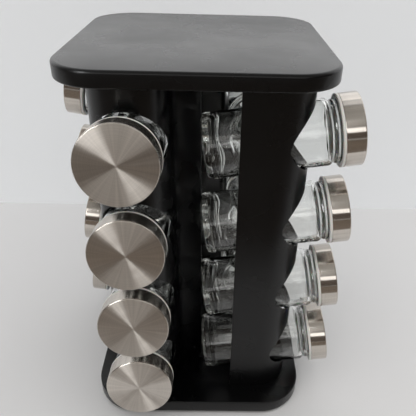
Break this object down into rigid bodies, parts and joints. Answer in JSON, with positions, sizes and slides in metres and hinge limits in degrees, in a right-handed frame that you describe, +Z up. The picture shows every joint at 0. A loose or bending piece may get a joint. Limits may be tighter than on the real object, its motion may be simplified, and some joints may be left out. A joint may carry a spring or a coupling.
{
  "type": "spice carousel",
  "caption": "Free-standing turning tower that holds rows of tilted glass spice jars with screw-on metal lids in four upright columns.",
  "frame": {"origin": "on the turning axis, at the surface that the foot stands on", "axes": "+Z up along the turning axis, front is -Y, +X to the right"},
  "size_m": [0.2144, 0.2144, 0.283],
  "materials": {
    "black_plastic": "satin moulded",
    "clear_glass": "clear, thick base",
    "spun_steel": "circular brushed",
    "white_plastic": "smooth",
    "pale_plastic": "smooth",
    "pivot_steel": "turned",
    "foot_rubber": "matt"
  },
  "bodies": {
    "foot": {"foot_disc": "black_plastic", "anti_slip_ring": "foot_rubber", "glide_ring": "pale_plastic"},
    "tower": {"base_plate": "black_plastic", "pivot_screw": "pivot_steel", "pivot_washer": "pale_plastic", "top_plate": "black_plastic", "column_front": "black_plastic", "column_right": "black_plastic", "column_back": "black_plastic", "column_left": "black_plastic"},
    "jar_front_1": {"jar_front_1": "clear_glass"},
    "lid_front_1": {"lid_front_1": "spun_steel", "lid_liner_front_1": "white_plastic"},
    "jar_front_2": {"jar_front_2": "clear_glass"},
    "lid_front_2": {"lid_front_2": "spun_steel", "lid_liner_front_2": "white_plastic"},
    "jar_front_3": {"jar_front_3": "clear_glass"},
    "lid_front_3": {"lid_front_3": "spun_steel", "lid_liner_front_3": "white_plastic"},
    "jar_front_4": {"jar_front_4": "clear_glass"},
    "lid_front_4": {"lid_front_4": "spun_steel", "lid_liner_front_4": "white_plastic"},
    "jar_right_1": {"jar_right_1": "clear_glass"},
    "lid_right_1": {"lid_right_1": "spun_steel", "lid_liner_right_1": "white_plastic"},
    "jar_right_2": {"jar_right_2": "clear_glass"},
    "lid_right_2": {"lid_right_2": "spun_steel", "lid_liner_right_2": "white_plastic"},
    "jar_right_3": {"jar_right_3": "clear_glass"},
    "lid_right_3": {"lid_right_3": "spun_steel", "lid_liner_right_3": "white_plastic"},
    "jar_right_4": {"jar_right_4": "clear_glass"},
    "lid_right_4": {"lid_right_4": "spun_steel", "lid_liner_right_4": "white_plastic"},
    "jar_back_1": {"jar_back_1": "clear_glass"},
    "lid_back_1": {"lid_back_1": "spun_steel", "lid_liner_back_1": "white_plastic"},
    "jar_back_2": {"jar_back_2": "clear_glass"},
    "lid_back_2": {"lid_back_2": "spun_steel", "lid_liner_back_2": "white_plastic"},
    "jar_back_3": {"jar_back_3": "clear_glass"},
    "lid_back_3": {"lid_back_3": "spun_steel", "lid_liner_back_3": "white_plastic"},
    "jar_back_4": {"jar_back_4": "clear_glass"},
    "lid_back_4": {"lid_back_4": "spun_steel", "lid_liner_back_4": "white_plastic"},
    "jar_left_1": {"jar_left_1": "clear_glass"},
    "lid_left_1": {"lid_left_1": "spun_steel", "lid_liner_left_1": "white_plastic"},
    "jar_left_2": {"jar_left_2": "clear_glass"},
    "lid_left_2": {"lid_left_2": "spun_steel", "lid_liner_left_2": "white_plastic"},
    "jar_left_3": {"jar_left_3": "clear_glass"},
    "lid_left_3": {"lid_left_3": "spun_steel", "lid_liner_left_3": "white_plastic"},
    "jar_left_4": {"jar_left_4": "clear_glass"},
    "lid_left_4": {"lid_left_4": "spun_steel", "lid_liner_left_4": "white_plastic"}
  },
  "joints": [
    {"name": "turntable_spin", "type": "hinge", "parent": "foot", "child": "tower", "pos_m": [0, 0, 0.0045], "axis": [0, 0, 1], "continuous": true},
    {"name": "jar_slide_front_1", "type": "slide", "parent": "tower", "child": "jar_front_1", "axis": [0, -0.989, 0.1478], "range_m": [0, 0.075]},
    {"name": "lid_turn_front_1", "type": "hinge", "parent": "jar_front_1", "child": "lid_front_1", "pos_m": [-0.0423, -0.1038, 0.2373], "axis": [0, -0.989, 0.1478], "range_deg": [0, 360]},
    {"name": "jar_slide_front_2", "type": "slide", "parent": "tower", "child": "jar_front_2", "axis": [0, -0.989, 0.1478], "range_m": [0, 0.075]},
    {"name": "lid_turn_front_2", "type": "hinge", "parent": "jar_front_2", "child": "lid_front_2", "pos_m": [-0.0423, -0.1038, 0.1766], "axis": [0, -0.989, 0.1478], "range_deg": [0, 360]},
    {"name": "jar_slide_front_3", "type": "slide", "parent": "tower", "child": "jar_front_3", "axis": [0, -0.989, 0.1478], "range_m": [0, 0.075]},
    {"name": "lid_turn_front_3", "type": "hinge", "parent": "jar_front_3", "child": "lid_front_3", "pos_m": [-0.0423, -0.1038, 0.1159], "axis": [0, -0.989, 0.1478], "range_deg": [0, 360]},
    {"name": "jar_slide_front_4", "type": "slide", "parent": "tower", "child": "jar_front_4", "axis": [0, -0.989, 0.1478], "range_m": [0, 0.075]},
    {"name": "lid_turn_front_4", "type": "hinge", "parent": "jar_front_4", "child": "lid_front_4", "pos_m": [-0.0423, -0.1038, 0.0552], "axis": [0, -0.989, 0.1478], "range_deg": [0, 360]},
    {"name": "jar_slide_right_1", "type": "slide", "parent": "tower", "child": "jar_right_1", "axis": [0.989, 0, 0.1478], "range_m": [0, 0.075]},
    {"name": "lid_turn_right_1", "type": "hinge", "parent": "jar_right_1", "child": "lid_right_1", "pos_m": [0.1038, -0.0423, 0.2373], "axis": [0.989, 0, 0.1478], "range_deg": [0, 360]},
    {"name": "jar_slide_right_2", "type": "slide", "parent": "tower", "child": "jar_right_2", "axis": [0.989, 0, 0.1478], "range_m": [0, 0.075]},
    {"name": "lid_turn_right_2", "type": "hinge", "parent": "jar_right_2", "child": "lid_right_2", "pos_m": [0.1038, -0.0423, 0.1766], "axis": [0.989, 0, 0.1478], "range_deg": [0, 360]},
    {"name": "jar_slide_right_3", "type": "slide", "parent": "tower", "child": "jar_right_3", "axis": [0.989, 0, 0.1478], "range_m": [0, 0.075]},
    {"name": "lid_turn_right_3", "type": "hinge", "parent": "jar_right_3", "child": "lid_right_3", "pos_m": [0.1038, -0.0423, 0.1159], "axis": [0.989, 0, 0.1478], "range_deg": [0, 360]},
    {"name": "jar_slide_right_4", "type": "slide", "parent": "tower", "child": "jar_right_4", "axis": [0.989, 0, 0.1478], "range_m": [0, 0.075]},
    {"name": "lid_turn_right_4", "type": "hinge", "parent": "jar_right_4", "child": "lid_right_4", "pos_m": [0.1038, -0.0423, 0.0552], "axis": [0.989, 0, 0.1478], "range_deg": [0, 360]},
    {"name": "jar_slide_back_1", "type": "slide", "parent": "tower", "child": "jar_back_1", "axis": [0, 0.989, 0.1478], "range_m": [0, 0.075]},
    {"name": "lid_turn_back_1", "type": "hinge", "parent": "jar_back_1", "child": "lid_back_1", "pos_m": [0.0423, 0.1038, 0.2373], "axis": [0, 0.989, 0.1478], "range_deg": [0, 360]},
    {"name": "jar_slide_back_2", "type": "slide", "parent": "tower", "child": "jar_back_2", "axis": [0, 0.989, 0.1478], "range_m": [0, 0.075]},
    {"name": "lid_turn_back_2", "type": "hinge", "parent": "jar_back_2", "child": "lid_back_2", "pos_m": [0.0423, 0.1038, 0.1766], "axis": [0, 0.989, 0.1478], "range_deg": [0, 360]},
    {"name": "jar_slide_back_3", "type": "slide", "parent": "tower", "child": "jar_back_3", "axis": [0, 0.989, 0.1478], "range_m": [0, 0.075]},
    {"name": "lid_turn_back_3", "type": "hinge", "parent": "jar_back_3", "child": "lid_back_3", "pos_m": [0.0423, 0.1038, 0.1159], "axis": [0, 0.989, 0.1478], "range_deg": [0, 360]},
    {"name": "jar_slide_back_4", "type": "slide", "parent": "tower", "child": "jar_back_4", "axis": [0, 0.989, 0.1478], "range_m": [0, 0.075]},
    {"name": "lid_turn_back_4", "type": "hinge", "parent": "jar_back_4", "child": "lid_back_4", "pos_m": [0.0423, 0.1038, 0.0552], "axis": [0, 0.989, 0.1478], "range_deg": [0, 360]},
    {"name": "jar_slide_left_1", "type": "slide", "parent": "tower", "child": "jar_left_1", "axis": [-0.989, 0, 0.1478], "range_m": [0, 0.075]},
    {"name": "lid_turn_left_1", "type": "hinge", "parent": "jar_left_1", "child": "lid_left_1", "pos_m": [-0.1038, 0.0423, 0.2373], "axis": [-0.989, 0, 0.1478], "range_deg": [0, 360]},
    {"name": "jar_slide_left_2", "type": "slide", "parent": "tower", "child": "jar_left_2", "axis": [-0.989, 0, 0.1478], "range_m": [0, 0.075]},
    {"name": "lid_turn_left_2", "type": "hinge", "parent": "jar_left_2", "child": "lid_left_2", "pos_m": [-0.1038, 0.0423, 0.1766], "axis": [-0.989, 0, 0.1478], "range_deg": [0, 360]},
    {"name": "jar_slide_left_3", "type": "slide", "parent": "tower", "child": "jar_left_3", "axis": [-0.989, 0, 0.1478], "range_m": [0, 0.075]},
    {"name": "lid_turn_left_3", "type": "hinge", "parent": "jar_left_3", "child": "lid_left_3", "pos_m": [-0.1038, 0.0423, 0.1159], "axis": [-0.989, 0, 0.1478], "range_deg": [0, 360]},
    {"name": "jar_slide_left_4", "type": "slide", "parent": "tower", "child": "jar_left_4", "axis": [-0.989, 0, 0.1478], "range_m": [0, 0.075]},
    {"name": "lid_turn_left_4", "type": "hinge", "parent": "jar_left_4", "child": "lid_left_4", "pos_m": [-0.1038, 0.0423, 0.0552], "axis": [-0.989, 0, 0.1478], "range_deg": [0, 360]}
  ]
}
